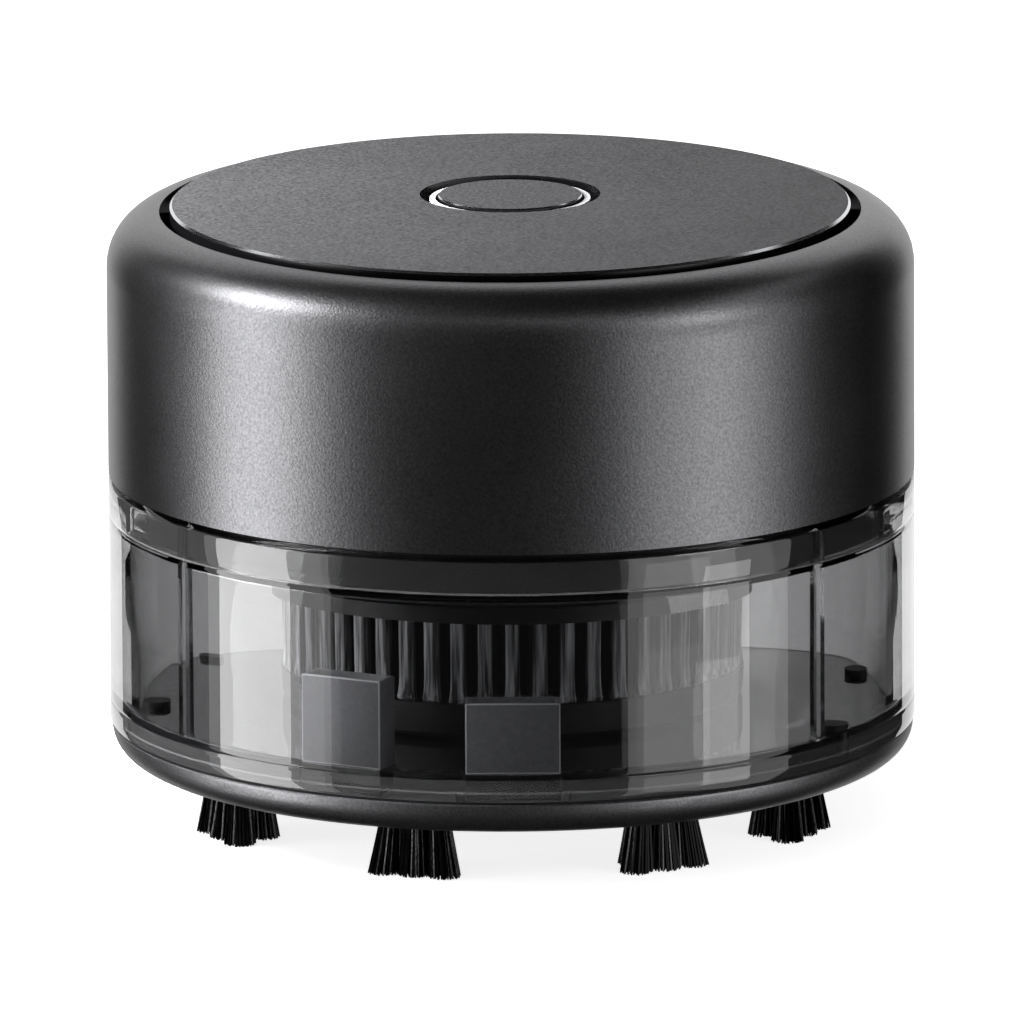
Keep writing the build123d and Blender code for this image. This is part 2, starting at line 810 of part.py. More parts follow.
def commutator():
    """Copper commutator below the end cap."""
    high = motor_top - end_cap_disc - seat_gap
    return ring(shaft_radius + screw_fit / 2, commutator_radius, high - commutator_length, high)


def filter_frame():
    """Upper frame of the cartridge: band over the pleats, neck and bayonet lugs."""
    frame = ring(neck_inner, filter_radius + band_lip, band_low, band_top)
    frame += ring(neck_inner, neck_radius, band_top, spigot_low - seat_gap)
    lug_low = spigot_low - 2 * seat_gap - lug_height
    for bearing in lug_bearings:
        inner = neck_radius - neck_wall / 2
        frame += sector(inner, lug_outer, bearing, lug_angle, lug_low, lug_low + lug_height)
    return frame


def pleat_outline(root, tip, side):
    """Closed zigzag of all pleats between two radii; side widens or narrows a pleat, in degrees."""
    pitch = 360 / pleat_count
    points = []
    for i in range(pleat_count):
        centre = i * pitch
        half_tip = pitch * pleat_tip_share / 2 + side
        half_root = pitch * pleat_root_share / 2 + side
        points.append(on_plan(root, centre - half_root))
        points.append(on_plan(tip, centre - half_tip))
        points.append(on_plan(tip, centre + half_tip))
        points.append(on_plan(root, centre + half_root))
    return make_face(Polyline(*points, close=True))


def filter_pleats():
    """Pleated filter paper: one folded sheet of even thickness, closed to a ring."""
    paper_angle = 360 * paper_thickness / (2 * pi * (filter_radius - pleat_depth / 2))
    outside = pleat_outline(pleat_root_radius, filter_radius, 0)
    inside = pleat_outline(
        pleat_root_radius - paper_thickness, filter_radius - paper_thickness, -paper_angle
    )
    return Pos(0, 0, end_cap_top) * extrude(outside - inside, band_low - end_cap_top)


def filter_core():
    """Slotted tube inside the pleats that keeps them from collapsing."""
    inner = core_inner - seat_gap
    outer = core_outer - seat_gap
    core = ring(inner, outer, end_cap_top, band_low)
    for i in range(core_window_count):
        bearing = i * 360 / core_window_count
        low = end_cap_top + core_wall
        core -= sector(inner - slip, outer + slip, bearing, core_window_angle, low, band_low - core_wall)
    return core


def filter_end_cap():
    """Closed lower cap with the pleats standing on its rim."""
    cap = disc(filter_radius, filter_low, end_cap_top)
    cap = chamfer(cap.edges().group_by(Axis.Z)[0], core_wall / 2)
    return cap - disc(core_inner - 2 * seat_gap, filter_low + end_cap_floor, end_cap_top)


def build():
    """Every piece by its node name."""
    pieces = {
        "dust_cup": dust_cup(),
        "base_plate": base_plate(),
        "base_rivets": base_rivets(),
        "housing_shell": housing_shell(),
        "top_plate": top_plate(),
        "light_ring": light_ring(),
        "button_cap": button_cap(),
        "switch_plunger": switch_plunger(),
        "tact_switch": tact_switch(),
        "button_board": button_board(),
        "indicator_leds": indicator_leds(),
        "board_screws": board_screws(),
        "chassis": chassis(),
        "chassis_screws": chassis_screws(),
        "cup_seal": cup_seal(),
        "charge_board": charge_board(),
        "usb_socket": usb_socket(),
        "battery_left": battery(-battery_x),
        "battery_right": battery(battery_x),
        "battery_pads": battery_pads(),
        "fan_housing": fan_housing(),
        "motor_can": motor_can(),
        "motor_magnets": motor_magnets(),
        "motor_end_cap": motor_end_cap(),
        "motor_bushes": motor_bushes(),
        "motor_screws": motor_screws(),
        "motor_shaft": motor_shaft(),
        "impeller": impeller(),
        "armature_core": armature_core(),
        "armature_coils": armature_coils(),
        "commutator": commutator(),
        "filter_frame": filter_frame(),
        "filter_pleats": filter_pleats(),
        "filter_core": filter_core(),
        "filter_end_cap": filter_end_cap(),
    }
    for name, bearing, width, height in ducts:
        pieces[name] = turn(bearing, inlet_duct(width, height))
    for number, bearing in enumerate(brush_bearings, start=1):
        pieces[f"brush_{number:02d}"] = turn(bearing, brush())
    return pieces


os.makedirs("parts", exist_ok=True)
for node, shape in build().items():
    export_step(shape, f"parts/{node}.step")
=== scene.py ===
import bmesh
import bpy
import math
import random
from mathutils import Matrix, Vector


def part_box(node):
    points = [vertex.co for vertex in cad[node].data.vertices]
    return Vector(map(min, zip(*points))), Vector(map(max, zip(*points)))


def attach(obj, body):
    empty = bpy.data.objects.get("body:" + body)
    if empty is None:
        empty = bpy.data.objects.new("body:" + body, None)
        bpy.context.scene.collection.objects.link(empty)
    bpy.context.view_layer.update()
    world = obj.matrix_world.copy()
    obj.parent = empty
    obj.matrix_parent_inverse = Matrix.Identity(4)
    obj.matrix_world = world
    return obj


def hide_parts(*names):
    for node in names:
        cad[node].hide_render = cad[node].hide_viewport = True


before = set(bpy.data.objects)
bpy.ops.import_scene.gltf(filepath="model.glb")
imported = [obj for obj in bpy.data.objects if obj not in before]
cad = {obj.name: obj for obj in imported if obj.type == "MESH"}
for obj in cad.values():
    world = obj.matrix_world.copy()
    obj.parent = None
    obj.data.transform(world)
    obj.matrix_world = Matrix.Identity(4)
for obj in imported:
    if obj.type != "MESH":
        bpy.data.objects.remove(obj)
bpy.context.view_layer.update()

# ---------------------------------------------------------------------------------------------
# Camera. A long lens 2.5 m in front of the vacuum and a little above it, which shows the lid as a
# flat oval. It is aimed near the middle of the vacuum's height and rolled by a third of a degree.
mm = 0.001
camera_distance = 2.5
camera_height_angle = math.radians(12.7)
camera_roll = math.radians(-0.3)
picture_width = 106.72 * mm
aim = Vector((0.03 * mm, 0, 31.2 * mm))


def stand(thing):
    """Puts an object into the scene."""
    bpy.context.scene.collection.objects.link(thing)
    return thing


camera = stand(bpy.data.objects.new("camera", bpy.data.cameras.new("camera")))
bpy.context.scene.camera = camera
towards_camera = Vector((0, -math.cos(camera_height_angle), math.sin(camera_height_angle)))
camera.location = aim + camera_distance * towards_camera
level_view = (-towards_camera).to_track_quat("-Z", "Y").to_matrix()
camera.rotation_euler = (level_view @ Matrix.Rotation(camera_roll, 3, "Z")).to_euler()
camera.data.lens = camera.data.sensor_width * camera_distance / picture_width

# ---------------------------------------------------------------------------------------------
# Base plate. The ring and plate that carry the brushes: ABS, injection moulded and sprayed in the
# same dark satin metallic paint as the housing, then riveted under the cup.


def paint(code):
    """An sRGB hex colour such as "3a3b3d" as the linear colour that shaders take."""
    channels = [int(code[i:i + 2], 16) / 255 for i in (0, 2, 4)]
    linear = [c / 12.92 if c <= 0.04045 else ((c + 0.055) / 1.055) ** 2.4 for c in channels]
    return (*linear, 1.0)


def add(finish, kind, sockets=(), **settings):
    """Adds a node to a material: its settings, and its sockets as values or as links."""
    new = finish.node_tree.nodes.new(kind)
    for name, value in settings.items():
        setattr(new, name, value)
    for name, value in dict(sockets).items():
        if isinstance(value, bpy.types.NodeSocket):
            finish.node_tree.links.new(value, new.inputs[name])
        else:
            new.inputs[name].default_value = value
    return new


def new_finish(name, **sockets):
    """A material whose surface is one Principled shader, and that shader."""
    finish = bpy.data.materials.new(name)
    finish.use_nodes = True
    finish.node_tree.nodes.clear()
    surface = add(finish, "ShaderNodeBsdfPrincipled")
    for socket, value in sockets.items():
        surface.inputs[socket.replace("_", " ")].default_value = value
    out = add(finish, "ShaderNodeOutputMaterial", {"Surface": surface.outputs[0]})
    out.name = "out"
    return finish, surface


# Gloss varies a little in broad patches of this size.
gloss_patch = 14 * mm


def grain(finish, surface, size, height, colours, roughness):
    """Moulded or sprayed grain: fine bumps of a size, with a little colour and gloss variation."""
    place = add(finish, "ShaderNodeTexCoord").outputs["Object"]
    fine = add(finish, "ShaderNodeTexNoise", {"Vector": place, "Scale": 1 / size, "Detail": 2.0})
    broad = add(finish, "ShaderNodeTexNoise", {
        "Vector": place, "Scale": 1 / gloss_patch, "Detail": 3.0})
    speckle = add(finish, "ShaderNodeMapRange", {
        "Value": fine.outputs[0], "From Min": 0.25, "From Max": 0.75})
    shade = add(finish, "ShaderNodeMix", {
        "Factor": speckle.outputs[0], 6: paint(colours[0]), 7: paint(colours[1])},
        data_type="RGBA")
    gloss = add(finish, "ShaderNodeMapRange", {
        "Value": broad.outputs[0], "From Min": 0.3, "From Max": 0.7,
        "To Min": roughness[0], "To Max": roughness[1]})
    bump = add(finish, "ShaderNodeBump", {
        "Height": fine.outputs[0], "Strength": 1.0, "Distance": height})
    join = finish.node_tree.links.new
    join(shade.outputs[2], surface.inputs["Base Color"])
    join(gloss.outputs[0], surface.inputs["Roughness"])
    join(bump.outputs[0], surface.inputs["Normal"])


def dress(finish, *names):
    """Gives CAD nodes their finish."""
    for name in names:
        mesh = cad[name].data
        mesh.materials.clear()
        mesh.materials.append(finish)


# Satin metallic paint: aluminium flakes in a dark lacquer, so it mirrors softly and darkens face
# on. Real flakes are about 0.03 mm; they are drawn nine times coarser, so that the sparkle shows.
flake_size, flake_height = 0.27 * mm, 0.019 * mm
# Painted light: the base ring's copy of the paint is lighter and rougher than the housing's.
lightened_base_paint, base_surface = new_finish("satin_metallic_paint_on_abs_base", Metallic=1.0)
grain(lightened_base_paint, base_surface, flake_size, flake_height, ("68686a", "838385"), (0.4, 0.44))
dress(lightened_base_paint, "base_plate")

# ---------------------------------------------------------------------------------------------
# Rivets that hold the base plate under the cup: black plastic, pressed in from below and headed
# over on the cup's floor.

# Black ABS straight from a finely eroded mould: an even, half-dull black.
black_plastic, black_surface = new_finish("black_moulded_abs", IOR=1.5)
grain(black_plastic, black_surface, 0.35 * mm, 0.006 * mm, ("0c0c0d", "131314"), (0.42, 0.5))
dress(black_plastic, "base_rivets")

# ---------------------------------------------------------------------------------------------
# Suction ducts. Four thin-walled rectangular pipes of grey ABS that stand up through the base and
# the cup's floor; dust comes up through them. Their moulded edges are broken very slightly.

# Bearing in degrees and width in millimetres.
duct_places = {
    "inlet_duct_front": (0.0, 9.6), "inlet_duct_left": (-27.0, 8.8),
    "inlet_duct_back": (180.0, 9.6), "inlet_duct_right": (153.0, 8.8),
}
duct_near, duct_far = 34.8 * mm, 38.2 * mm
duct_wall = 0.5 * mm
duct_flange = 0.8 * mm
duct_flange_top = 9.8 * mm
duct_edge = 0.14 * mm
# Edges this close to a pipe's outer face get the painted highlight, in a material slot of its own.
duct_face_depth = 0.2 * mm
highlight_edge_slot = 1

# Grey moulded ABS: dull, with a grain that is felt more than seen.
grey_plastic, grey_surface = new_finish("grey_moulded_abs", IOR=1.5)
grain(grey_plastic, grey_surface, 0.4 * mm, 0.004 * mm, ("78797b", "868789"), (0.34, 0.42))
# Painted shade: the pipes are coloured black from their feet up to the top of the cup's floor.
duct_shade_level = 12.3 * mm
painted_shade_black = paint("070707")
duct_level = add(grey_plastic, "ShaderNodeSeparateXYZ", {
    "Vector": add(grey_plastic, "ShaderNodeTexCoord").outputs["Object"]})
duct_unshaded = add(grey_plastic, "ShaderNodeMath", {
    0: duct_level.outputs["Z"], 1: duct_shade_level}, operation="GREATER_THAN")
duct_shade = add(grey_plastic, "ShaderNodeMix", {
    "Factor": duct_unshaded.outputs[0], 6: painted_shade_black,
    7: grey_surface.inputs["Base Color"].links[0].from_socket}, data_type="RGBA")
grey_plastic.node_tree.links.new(duct_shade.outputs[2], grey_surface.inputs["Base Color"])
# Painted highlight: the pipes' broken front edges are coloured pale, so they show as pale lines.
highlight_edge_plastic, highlight_edge_surface = new_finish("grey_moulded_abs_painted_highlight_edge", IOR=1.6)
grain(highlight_edge_plastic, highlight_edge_surface, 0.4 * mm, 0.002 * mm, ("d2d3d5", "dededf"), (0.16, 0.2))

sharp_angle = math.radians(32)


def new_piece(name, shape, finish, body, slot, *replaced):
    """Makes an object of a bmesh, smooth but for its sharp edges, and fixes it to a CAD body."""
    mesh = bpy.data.meshes.new(name)
    shape.to_mesh(mesh)
    shape.free()
    mesh.shade_smooth()
    mesh.set_sharp_from_angle(angle=sharp_angle)
    mesh.materials.append(finish)
    piece = stand(bpy.data.objects.new(name, mesh))
    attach(piece, body)
    if replaced:
        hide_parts(*replaced)
    return piece


def bearing_turn(bearing):
    """The turn about the vacuum's axis from the front to a bearing, growing towards +X."""
    return Matrix.Rotation(math.radians(bearing), 4, "Z")


def rectangle(half_width, near, far, level):
    """Corners of a level rectangle at the front, between two distances from the axis."""
    corners = ((-half_width, -near), (half_width, -near), (half_width, -far), (-half_width, -far))
    return [Vector((x, y, level)) for x, y in corners]


def skin(shape, loops, closed=True):
    """Joins loops of points by quads; closed joins the last loop to the first."""
    rings = [[shape.verts.new(point) for point in loop] for loop in loops]
    pairs = list(zip(rings, rings[1:] + rings[:1] if closed else rings[1:]))
    for one, other in pairs:
        for i in range(len(one)):
            j = (i + 1) % len(one)
            shape.faces.new((one[i], one[j], other[j], other[i]))
    return rings


def duct(width, low, high):
    """Open rectangular pipe with a flange at its foot, in metres."""
    half = width / 2
    near, far = duct_near, duct_far
    foot = duct_flange_top
    shape = bmesh.new()
    loops = [
        rectangle(half - duct_wall, near + duct_wall, far - duct_wall, low),
        rectangle(half, near, far, low),
        rectangle(half, near, far, foot - duct_flange),
        rectangle(half + duct_flange, near - duct_flange, far + duct_flange, foot - duct_flange),
        rectangle(half + duct_flange, near - duct_flange, far + duct_flange, foot),
        rectangle(half, near, far, foot),
        rectangle(half, near, far, duct_shade_level),
        rectangle(half, near, far, high),
        rectangle(half - duct_wall, near + duct_wall, far - duct_wall, high),
    ]
    skin(shape, loops)
    rounded = bmesh.ops.bevel(
        shape, geom=shape.edges[:], offset=duct_edge, segments=2, profile=0.5, affect="EDGES")
    for face in rounded["faces"]:
        middle = face.calc_center_median()
        if middle.z > duct_shade_level and middle.y < duct_face_depth - far:
            face.material_index = highlight_edge_slot
    return shape


for name, (bearing, width) in duct_places.items():
    low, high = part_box(name)
    shape = duct(width * mm, low.z, high.z)
    bmesh.ops.transform(shape, matrix=bearing_turn(bearing), verts=shape.verts)
    bmesh.ops.recalc_face_normals(shape, faces=shape.faces)
    pipe = new_piece(name + "_pipe", shape, grey_plastic, "dust_cup", "grey_insert", name)
    pipe.data.materials.append(highlight_edge_plastic)

# ---------------------------------------------------------------------------------------------
# Dust cup. Smoke-tinted clear SAN, moulded in one with its floor, two guide ribs and the ledge
# that the seal lands on. A fine line runs round it outside at the ledge and at the floor.


def smoked_san(name, clearness):
    """Clear SAN with a smoke tint that lets the lamps through; less clearness is a light haze."""
    finish, surface = new_finish(
        name, Base_Color=paint("bebebf"), Roughness=0.0, IOR=1.36, Specular_IOR_Level=0.9,
        Transmission_Weight=clearness, Coat_Weight=0.75, Coat_Roughness=0.0, Coat_IOR=1.5)
    clear_to_lamps = add(finish, "ShaderNodeBsdfTransparent", {"Color": paint("c4c4c6")})
    lamp_rays = add(finish, "ShaderNodeLightPath").outputs["Is Shadow Ray"]
    either = add(finish, "ShaderNodeMixShader", {
        "Fac": lamp_rays, 1: surface.outputs[0], 2: clear_to_lamps.outputs[0]})
    finish.node_tree.links.new(either.outputs[0], finish.node_tree.nodes["out"].inputs["Surface"])
    return finish


# The wall is quite clear. The thick rims and the lines at them are hazier copies of the same SAN,
# which render lighter: painted light on the rims, painted highlight on the lines. A black band at
# the joint to the base ring is painted shadow, a thin dark line.
cup_finish = smoked_san("smoked_clear_san", 1.0)
collar_lightened_finish = smoked_san("smoked_clear_san_collar", 0.978)
foot_lightened_finish = smoked_san("smoked_clear_san_foot", 0.962)
highlight_line_finish = smoked_san("smoked_clear_san_highlight_line", 0.86)
# Painted shadow: an opaque black band on the cup's outside at its joint to the base ring.
cup_shadow_line, _ = new_finish("painted_shadow_line_black", Base_Color=painted_shade_black, Roughness=0.6, IOR=1.4)

# Radius and level in millimetres: the floor, up the inside with the ledge, over the rim, down the
# outside with its two fine lines, and back under the floor.
cup_section = [
    (0, 12.3), (15, 12.3), (30, 12.3), (38.4, 12.3), (38.55, 12.3), (38.85, 12.4), (39, 12.7),
    (39, 12.85), (39, 20), (39, 30.4), (38.9, 30.6), (37.05, 30.75), (36.95, 30.8), (36.9, 31.1),
    (37.05, 31.2), (38.9, 31.2), (39, 31.3), (39, 31.69), (39, 31.71), (39, 35.05), (39.25, 35.3),
    (41.7, 35.3), (41.92, 35.22), (42, 35.0), (42, 32.2), (42, 32.05), (41.95, 31.9),
    (41.93, 31.8), (41.95, 31.7), (42, 31.55), (42, 31.4), (42, 22), (42, 12.7), (42, 12.55),
    (41.95, 12.4), (41.93, 12.3), (41.95, 12.2), (42, 12.05), (42, 11.9), (42, 11.1), (42, 10.9),
    (42, 10.05), (41.85, 9.75), (30, 9.75), (15, 9.75), (0, 9.75),
]
# Ribs run up the wall's inside above the rounding at the floor, and notches above the ledge.
wall_inside = 39
wall_band = (38.5, 39.3)
floor_fillet = (38.6, 12.35)
ledge_level = 31.7
rib_bearings = (-57.7, 52.2)
rib_inside = 38.2
rib_half_width = 0.6
rib_half_angle = math.degrees(rib_half_width / rib_inside)
notch_bearings = (-76.0, 70.0)
notch_outside = 40.2
notch_half_width, notch_middle = 0.9, 39.5
notch_half_angle = math.degrees(notch_half_width / notch_middle)
cup_columns = 300
rib_edge_angle = 0.04
rib_clear_angle = 0.3


def between(angle, centre, half):
    """Whether an angle lies within a half angle of a centre, all in degrees."""
    return abs((angle - centre + 180) % 360 - 180) < half


def cup_bearings():
    """Even columns round the cup, and close pairs where a rib or notch begins and ends."""
    angles = [i * 360 / cup_columns for i in range(cup_columns)]
    marks = [(b, rib_half_angle) for b in rib_bearings]
    marks += [(b, notch_half_angle) for b in notch_bearings]
    for centre, half in marks:
        angles = [a for a in angles if not between(a, centre, half + rib_clear_angle)]
        angles += [
            (centre + side * (half + d)) % 360
            for side in (-1, 1) for d in (-rib_edge_angle, rib_edge_angle)]
        angles.append(centre % 360)
    return sorted(angles)


def cup_radius(radius, level, angle):
    """Radius of a point of the section at a bearing: nearer at a rib, further in a notch."""
    above_floor = level > floor_fillet[1] or radius > floor_fillet[0]
    on_wall = wall_band[0] < radius < wall_band[1] and above_floor
    if on_wall and any(between(angle, b, rib_half_angle) for b in rib_bearings):
        return radius - (wall_inside - rib_inside)
    in_notch = any(between(angle, b, notch_half_angle) for b in notch_bearings)
    if on_wall and level > ledge_level and in_notch:
        return radius + (notch_outside - wall_inside)
    return radius


def turned(section, angles, radius_at=lambda radius, level, angle: radius):
    """A body turned from an open section whose ends lie on the axis, or a closed ring's section."""
    shape = bmesh.new()
    columns = []
    poles = {}
    for angle in angles:
        turn = math.radians(angle)
        column = []
        for radius, level in section:
            if radius == 0:
                if level not in poles:
                    poles[level] = shape.verts.new((0, 0, level * mm))
                column.append(poles[level])
                continue
            r = radius_at(radius, level, angle) * mm
            column.append(shape.verts.new((r * math.sin(turn), -r * math.cos(turn), level * mm)))
        columns.append(column)
    closed = section[0][0] != 0
    count = len(section)
    for one, other in zip(columns, columns[1:] + columns[:1]):
        for i in range(count if closed else count - 1):
            j = (i + 1) % count
            corners = [one[i], one[j], other[j], other[i]]
            shape.faces.new(list(dict.fromkeys(corners)))
    bmesh.ops.recalc_face_normals(shape, faces=shape.faces)
    return shape


def box_shape(half, near, far, low, high):
    """A closed block at the front."""
    shape = bmesh.new()
    rings = skin(
        shape, [rectangle(half, near, far, low), rectangle(half, near, far, high)], closed=False)
    shape.faces.new(rings[0])
    shape.faces.new(rings[1])
    return shape


def slot_cutters(margin, low, high):
    """One loose block for each duct's slot, to cut with."""
    tools = []
    for bearing, width in duct_places.values():
        shape = box_shape(
            width * mm / 2 + margin, duct_near - margin, duct_far + margin, low, high)
        bmesh.ops.transform(shape, matrix=bearing_turn(bearing), verts=shape.verts)
        bmesh.ops.recalc_face_normals(shape, faces=shape.faces)
        mesh = bpy.data.meshes.new("cutter")
        shape.to_mesh(mesh)
        shape.free()
        tools.append(stand(bpy.data.objects.new("cutter", mesh)))
    return tools


def cut(piece, cutters):
    """Cuts closed shapes out of a piece and removes them."""
    for cutter in cutters:
        tool = piece.modifiers.new("cut", "BOOLEAN")
        tool.operation = "DIFFERENCE"
        tool.solver = "EXACT"
        tool.object = cutter
    bpy.context.view_layer.update()
    seen = piece.evaluated_get(bpy.context.evaluated_depsgraph_get())
    ready = bpy.data.meshes.new_from_object(seen)
    piece.modifiers.clear()
    piece.data = ready
    ready.shade_smooth()
    ready.set_sharp_from_angle(angle=sharp_angle)
    for cutter in cutters:
        bpy.data.objects.remove(cutter)


slot_gap = 0.1 * mm
slot_low, slot_high = 9 * mm, 13 * mm
cup = new_piece(
    "clear_cup", turned(cup_section, cup_bearings(), cup_radius), cup_finish, "dust_cup",
    "clear_smoke", "dust_cup")
cut(cup, slot_cutters(slot_gap, slot_low, slot_high))

# The hazier copies paint light: lighter bands at the collar and foot, bright lines as highlights.
# Faces outside this radius get the finish of the level they are at, in these material slots.
outside_radius = 41.5 * mm
upper_line = (31.8 * mm, 32.05 * mm)
foot_line = (10.9 * mm, 11.1 * mm)
collar_low = 31.9 * mm
foot_low, foot_high = 10 * mm, 12.3 * mm
# Below this level the cup's outside takes the painted shadow band.
shadow_line_top = 10.04 * mm
collar_slot, foot_slot, highlight_line_slot, shadow_line_slot = 1, 2, 3, 4
for finish in (collar_lightened_finish, foot_lightened_finish, highlight_line_finish, cup_shadow_line):
    cup.data.materials.append(finish)
for face in cup.data.polygons:
    level = face.center.z
    if math.hypot(face.center.x, face.center.y) <= outside_radius:
        continue
    if upper_line[0] < level < upper_line[1] or foot_line[0] < level < foot_line[1]:
        face.material_index = highlight_line_slot
    elif level > collar_low:
        face.material_index = collar_slot
    elif level < shadow_line_top:
        face.material_index = shadow_line_slot
    elif foot_low < level < foot_high:
        face.material_index = foot_slot

# ---------------------------------------------------------------------------------------------
# Brushes. Eight small brushes, each five tufts of black nylon bristle stapled into the base
# plate. The tufts lean apart, their bristles spread towards the table, and the tips are cut level.


def streaks(finish, along, size, detail, bounds, colours):
    """A colour in streaks along Z: noise of a size across them, drawn out by the share along."""
    place = add(finish, "ShaderNodeTexCoord").outputs["Object"]
    drawn_out = add(finish, "ShaderNodeVectorMath", {
        0: place, 1: (1, 1, along)}, operation="MULTIPLY")
    noise = add(finish, "ShaderNodeTexNoise", {
        "Vector": drawn_out.outputs[0], "Scale": 1 / size, "Detail": detail})
    share = add(finish, "ShaderNodeMapRange", {
        "Value": noise.outputs[0], "From Min": bounds[0], "From Max": bounds[1]})
    shade = add(finish, "ShaderNodeMix", {
        "Factor": share.outputs[0], 6: paint(colours[0]), 7: paint(colours[1])},
        data_type="RGBA")
    return shade.outputs[2]


# Black nylon monofilament: deep black, with faint streaks along it about as wide as a bristle.
bristle_finish, bristle_surface = new_finish(
    "black_nylon_bristle", Roughness=0.32, IOR=1.4, Specular_IOR_Level=0.2)
bristle_finish.node_tree.links.new(
    streaks(bristle_finish, 0.06, 0.24 * mm, 1.0, (0.5, 0.75), ("020202", "121213")),
    bristle_surface.inputs["Base Color"])
# Painted highlight: a few bristles on the outside of each tuft, where light falls, are paler and
# shine.
highlight_bristle, highlight_bristle_surface = new_finish("black_nylon_bristle_painted_highlight", IOR=1.53)
grain(highlight_bristle, highlight_bristle_surface, 0.3 * mm, 0.001 * mm, ("2c2c2d", "7c7c7d"), (0.26, 0.32))

# Bearings in degrees, and lengths and levels in millimetres. A third of the tips are cut short.
brush_bearings = (-64.0, -18.0, 28.0, 64.5, 116.0, 162.0, 208.0, 244.5)
brush_ring_radius = 32.8
tuft_pitch = 2.6
tuft_row_pitch = 2.8
tufts_in_rows = (3, 2)
bristles_per_tuft = 120
bristle_radius = 0.09
tuft_root_radius = 1.0
tuft_tip_radius = 1.75
tuft_lean = 1.26
bristle_levels = (6.6, 4.4, 2.2, 0.0)
tip_levels = (0, 0, 0, 0, 0.04, 0.08)
# Each bristle turns on by the golden angle, in radians, which spreads them evenly in a tuft.
golden_angle = 2.399963
# A tip's share of its full reach, its swing aside in radians, and the power that bows a bristle.
tip_shares, tip_swing, bows = (0.94, 1.0), 0.1, (0.95, 1.15)
# Highlight bristles stand beyond this share of a tuft's radius, and make up this share of those
# there.
highlight_reach, highlight_share = 0.7, 0.2
highlight_bristle_slot = 1
draw = random.Random(7)


def bristle(shape, foot, tip, bow, tip_level):
    """One bristle as a thin four-sided rod from its foot to its tip, bowed a little."""
    rings = []
    for level in bristle_levels:
        share = (bristle_levels[0] - level) / bristle_levels[0]
        spread = share ** bow
        x = foot[0] + (tip[0] - foot[0]) * spread
        y = foot[1] + (tip[1] - foot[1]) * spread
        z = max(level, tip_level)
        ring = []
        for side in range(4):
            turn = math.radians(45 + 90 * side)
            corner = (x + bristle_radius * math.cos(turn), y + bristle_radius * math.sin(turn), z)
            ring.append(Vector(corner) * mm)
        rings.append(ring)
    made = skin(shape, rings, closed=False)
    shape.faces.new(made[0])
    shape.faces.new(made[-1])
    return made


def brush():
    """An outer row of tufts and a shorter one inside it, each a bundle that spreads downwards."""
    shape = bmesh.new()
    centres = [
        (tuft_pitch * (i - (count - 1) / 2), tuft_row_pitch * row - brush_ring_radius)
        for row, count in enumerate(tufts_in_rows) for i in range(count)]
    middle = tuft_row_pitch / 2 - brush_ring_radius
    for centre in centres:
        end = (tuft_lean * centre[0], middle + tuft_lean * (centre[1] - middle))
        for k in range(bristles_per_tuft):
            reach = math.sqrt((k + 0.5) / bristles_per_tuft)
            turn = k * golden_angle
            foot = (centre[0] + tuft_root_radius * reach * math.cos(turn),
                    centre[1] + tuft_root_radius * reach * math.sin(turn))
            far = tuft_tip_radius * reach * draw.uniform(*tip_shares)
            swing = turn + draw.uniform(-tip_swing, tip_swing)
            tip = (end[0] + far * math.cos(swing), end[1] + far * math.sin(swing))
            rings = bristle(shape, foot, tip, draw.uniform(*bows), draw.choice(tip_levels))
            if reach > highlight_reach and draw.random() < highlight_share:
                for face in {f for ring in rings for vertex in ring for f in vertex.link_faces}:
                    face.material_index = highlight_bristle_slot
    return shape


for number, bearing in enumerate(brush_bearings, start=1):
    shape = brush()
    bmesh.ops.transform(shape, matrix=bearing_turn(bearing), verts=shape.verts)
    bmesh.ops.recalc_face_normals(shape, faces=shape.faces)
    tufts = new_piece(
        f"bristles_{number:02d}", shape, bristle_finish, "dust_cup", "bristle",
        f"brush_{number:02d}")
    tufts.data.materials.append(highlight_bristle)

# ---------------------------------------------------------------------------------------------
# Filter cartridge. Black pleated filter paper glued between a moulded frame and a closed end cap.
# The pleats' outer folds show as rounded flutes that flare a little at the bottom.
dress(black_plastic, "filter_frame", "filter_end_cap", "filter_core")

# The paper is black, coloured darkest towards the pleats' roots as painted shade, and pale and
# shiny in streaks along its outer folds as painted highlight.
paper_finish, paper_surface = new_finish("pleated_filter_paper", IOR=1.5, Roughness=0.34)
paper_lit_from, paper_lit_to = 22.4 * mm, 23.3 * mm
paper_level = add(paper_finish, "ShaderNodeVectorMath", {
    0: add(paper_finish, "ShaderNodeTexCoord").outputs["Object"], 1: (1, 1, 0)},
    operation="MULTIPLY")
paper_radius = add(paper_finish, "ShaderNodeVectorMath", {
    0: paper_level.outputs[0]}, operation="LENGTH")
paper_lit_share = add(paper_finish, "ShaderNodeMapRange", {
    "Value": paper_radius.outputs["Value"],
    "From Min": paper_lit_from, "From Max": paper_lit_to})
paper_colour = add(paper_finish, "ShaderNodeMix", {
    "Factor": paper_lit_share.outputs[0], 6: paint("131314"),
    7: streaks(paper_finish, 0.04, 0.5 * mm, 3.0, (0.4, 0.72), ("343435", "e2e3e5"))},
    data_type="RGBA")
paper_finish.node_tree.links.new(paper_colour.outputs[2], paper_surface.inputs["Base Color"])

# Radii, levels and depths in millimetres; shares are of the angle from one pleat to the next.
pleat_count = 52
pleat_tip = 24.0
pleat_root = 18.0
paper_thickness = 0.45
pleat_low, pleat_high = 16.2, 26.0
pleat_levels = [
    pleat_low + (pleat_high - pleat_low) * share
    for share in (0, 0.02, 0.05, 0.1, 0.18, 0.3, 0.5, 0.75, 1)]
pitch = 360 / pleat_count
fold_half_share, fold_flare_share, root_half_share = 0.25, 0.07, 0.24
fold_setback, edge_tuck, root_rise, fold_depth = 0.35, 0.5, 0.2, 0.6
